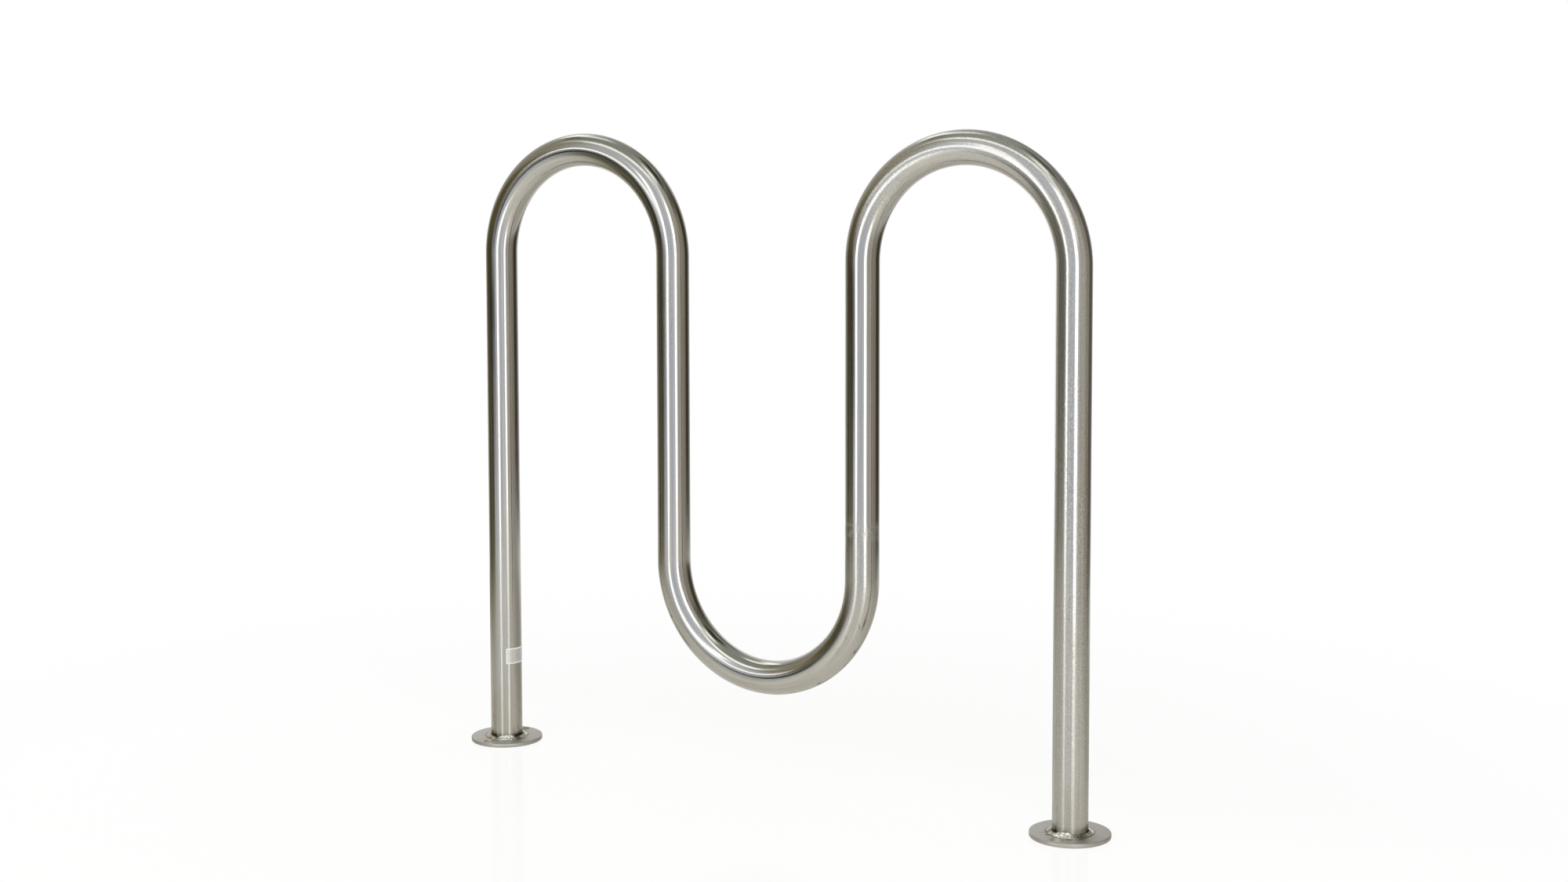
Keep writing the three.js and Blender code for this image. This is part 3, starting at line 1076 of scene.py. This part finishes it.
class Room(Shader):
    """The room round the rack, painted on the world by direction. Azimuth 0 is straight in front of the
    rack, at -Y, and grows towards +X."""

    def __init__(self, world):
        super().__init__(world)
        self.direction = self.node("ShaderNodeTexCoord").outputs["Generated"]
        split = self.node("ShaderNodeSeparateXYZ", {0: self.direction})
        self.x, self.y, self.z = split.outputs
        self.elevation = self.times(self.math("ARCSINE", self.z), DEGREES)

    def azimuth_from(self, centre):
        """Degrees of azimuth from a centre, from -180 to 180."""
        a = math.radians(centre)
        across = self.add(self.times(self.x, math.cos(a)), self.times(self.y, math.sin(a)))
        ahead = self.add(self.times(self.x, math.sin(a)), self.times(self.y, -math.cos(a)))
        return self.times(self.math("ARCTAN2", across, ahead), DEGREES)

    def between(self, value, low, high, soft):
        """1 between two values, easing to 0 outside them."""
        return self.times(self.ramp(value, low - soft, low + soft),
                          self.fade(value, high - soft, high + soft))

    def panel(self, under, azimuths, elevations, soft, shade):
        """Hangs a soft-edged panel of one shade in front of what is there."""
        middle, half = sum(azimuths) / 2, (azimuths[1] - azimuths[0]) / 2
        across = self.unsigned(self.azimuth_from(middle))
        mask = self.times(self.fade(across, half - soft, half + soft),
                          self.between(self.elevation, *elevations, soft))
        return self.mix(mask, under, shade)

    def ceiling_row(self, under, sideways, outward, shade):
        """Hangs a row of ceiling light, between places in shares of the ceiling's height."""
        height = self.most(self.z, LEAST_CEILING)
        mask = self.times(self.between(self.math("DIVIDE", self.x, height), *sideways, 2 * ROW_EDGE),
                          self.between(self.math("DIVIDE", self.y, height), *outward, ROW_EDGE),
                          self.ramp(self.z, *CEILING_START))
        return self.mix(mask, under, shade)

    def streaked(self, under, squeeze, scale, strength):
        """Breaks the room up with faint streaks of slightly different tints."""
        squeezed = self.vector_math("MULTIPLY", self.direction, squeeze)[0]
        tints = self.node("ShaderNodeTexNoise", {"Vector": squeezed, "Scale": scale, "Detail": 4.0})
        factor = self.vector_math("MULTIPLY_ADD", tints.outputs["Color"], (strength,) * 3,
                                  (1 - strength / 2,) * 3)[0]
        return self.vector_math("MULTIPLY", under, factor)[0]

    def backdrop(self):
        """Where the white backdrop stands."""
        across = self.unsigned(self.azimuth_from(BACKDROP_AZIMUTH))
        return self.times(self.fade(across, *BACKDROP_SIDES), self.fade(self.elevation, *BACKDROP_TOP))


def build_world():
    """The room for what the steel mirrors, and plain white for the camera and for soft light."""
    world = bpy.data.worlds.new("studio")
    bpy.context.scene.world = world
    s = Room(world)
    room = ROOM_COLOUR
    for panel in WALL_PANELS:
        room = s.panel(room, *panel)
    for row in CEILING_ROWS:
        room = s.ceiling_row(room, *row)
    for panel in HANGING_PANELS:
        room = s.panel(room, *panel)
    for streaks in STREAKS:
        room = s.streaked(room, *streaks)
    rays = s.node("ShaderNodeLightPath").outputs
    shown = s.mix(s.times(s.reflected(rays), s.backdrop()), room, WHITE)
    shown = s.panel(shown, *BACK_LIGHT)
    for ray in ("Is Camera Ray", "Is Diffuse Ray"):
        shown = s.mix(rays[ray], shown, WHITE)
    back = s.node("ShaderNodeBackground", {"Color": shown, "Strength": 1.0})
    s.node("ShaderNodeOutputWorld", {"Surface": back.outputs[0]})


# Camera

CAMERA_PLACE = Vector((1.62913, -2.67849, 0.93111))
CAMERA_AZIMUTH = 0.53748  # radians, to the left of straight ahead
CAMERA_PITCH = 0.0706  # radians, downwards
CAMERA_ROLL = 0.00169
CAMERA_LENS = 48.424  # millimetres, on Blender's own sensor of 36
CAMERA_SHIFT = -0.08


def aim_camera():
    """Stands the camera where the photograph was taken."""
    camera = bpy.data.cameras.new("camera")
    camera.lens = CAMERA_LENS
    camera.shift_y = CAMERA_SHIFT
    turn = (Matrix.Rotation(CAMERA_AZIMUTH, 4, "Z") @ Matrix.Rotation(math.pi / 2 - CAMERA_PITCH, 4, "X")
            @ Matrix.Rotation(-CAMERA_ROLL, 4, "Z"))
    thing = new_object("camera", camera)
    thing.matrix_world = Matrix.Translation(CAMERA_PLACE) @ turn
    bpy.context.scene.camera = thing


# Operators

class RackOperator:
    bl_options = {"REGISTER", "UNDO"}

    def settings(self, context):
        return context.scene.bike_rack


class BIKERACK_OT_stage(RackOperator, bpy.types.Operator):
    """Sets up the pale floor, the surroundings, the strip lights and the camera"""

    bl_idname = "bikerack.stage"
    bl_label = "Studio"

    def execute(self, context):
        settings = self.settings(context).studio
        build_floor(settings)
        build_card(settings)
        build_world()
        build_lights(settings)
        aim_camera()
        context.scene.view_settings.view_transform = "Standard"
        return {"FINISHED"}


class BIKERACK_OT_tubes(RackOperator, bpy.types.Operator):
    """Sweeps the two bent tubes, with the polish and the marks of their making"""

    bl_idname = "bikerack.tubes"
    bl_label = "Bent tubes"

    def execute(self, context):
        settings = self.settings(context).tube
        material = tube_material(settings)
        run, lower, upper = trace_run(settings)
        splice = (run.stations[lower][2] + run.stations[upper][2]) / 2
        lengths = {"left": run.stations[:lower + 1], "right": run.stations[upper:]}
        for side, stations in lengths.items():
            tube = build_tube(side + "_tube", stations, run.length, splice, settings)
            finish_piece(tube, material, side + "_bent_tube")
        return {"FINISHED"}


class BIKERACK_OT_splice(RackOperator, bpy.types.Operator):
    """Builds the ground butt weld on the third leg and finishes the sleeve behind it"""

    bl_idname = "bikerack.splice"
    bl_label = "Splice"

    def execute(self, context):
        settings = self.settings(context)
        run, lower, upper = trace_run(settings.tube)
        stations = run.stations[lower:upper + 1]
        splice = (stations[0][2] + stations[-1][2]) / 2
        bead = build_tube("splice_bead", stations, run.length, splice, settings.tube)
        finish_piece(bead, bpy.data.materials["polished_tube"], "splice_weld")
        paint(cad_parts["splice_sleeve"], plate_material(settings.plate))
        return {"FINISHED"}


class BIKERACK_OT_base_plates(RackOperator, bpy.types.Operator):
    """Cuts the two round base plates with their anchor holes"""

    bl_idname = "bikerack.base_plates"
    bl_label = "Base plates"

    def execute(self, context):
        settings = self.settings(context).plate
        for side, x in FOOT_PLACES.items():
            material = plate_material(settings, (x, 0, PLATE_TOP))
            finish_piece(build_plate(side, settings), material, side + "_base_plate")
        return {"FINISHED"}


class BIKERACK_OT_foot_welds(RackOperator, bpy.types.Operator):
    """Lays the weld bead round each foot"""

    bl_idname = "bikerack.foot_welds"
    bl_label = "Foot welds"

    def execute(self, context):
        settings = self.settings(context).weld
        material = weld_material(settings)
        for side in FOOT_PLACES:
            finish_piece(build_foot_weld(side, settings), material, side + "_foot_weld")
        return {"FINISHED"}


class BIKERACK_OT_label(RackOperator, bpy.types.Operator):
    """Sticks the bare label on the left leg"""

    bl_idname = "bikerack.label"
    bl_label = "Bare label"

    def execute(self, context):
        settings = self.settings(context).label
        finish_piece(build_label(settings), label_material(settings), "blank_label")
        return {"FINISHED"}


class BIKERACK_PT_panel(bpy.types.Panel):
    """Lists the rack's pieces in the sidebar"""

    bl_idname = "BIKERACK_PT_panel"
    bl_label = "Hoop bike rack"
    bl_space_type = "VIEW_3D"
    bl_region_type = "UI"
    bl_category = "Bike rack"

    def draw(self, context):
        layout = self.layout
        for operator in PIECES:
            layout.operator(operator.bl_idname)
        rack = context.scene.bike_rack
        for group in (rack.tube, rack.plate, rack.weld, rack.label, rack.studio):
            box = layout.box()
            for name in group.bl_rna.properties.keys():
                if name not in ("rna_type", "name"):
                    box.prop(group, name)


PIECES = (
    BIKERACK_OT_stage,
    BIKERACK_OT_tubes,
    BIKERACK_OT_splice,
    BIKERACK_OT_base_plates,
    BIKERACK_OT_foot_welds,
    BIKERACK_OT_label,
)
GROUPS = (TubeSettings, PlateSettings, WeldSettings, LabelSettings, StudioSettings, RackSettings)


def register():
    for item in GROUPS + PIECES + (BIKERACK_PT_panel,):
        bpy.utils.register_class(item)
    bpy.types.Scene.bike_rack = PointerProperty(type=RackSettings)


def unregister():
    del bpy.types.Scene.bike_rack
    for item in reversed(GROUPS + PIECES + (BIKERACK_PT_panel,)):
        bpy.utils.unregister_class(item)


def main():
    register()
    bpy.ops.bikerack.stage()
    bpy.ops.bikerack.tubes()
    bpy.ops.bikerack.splice()
    bpy.ops.bikerack.base_plates()
    bpy.ops.bikerack.foot_welds()
    bpy.ops.bikerack.label()


if __name__ == "__main__":
    main()
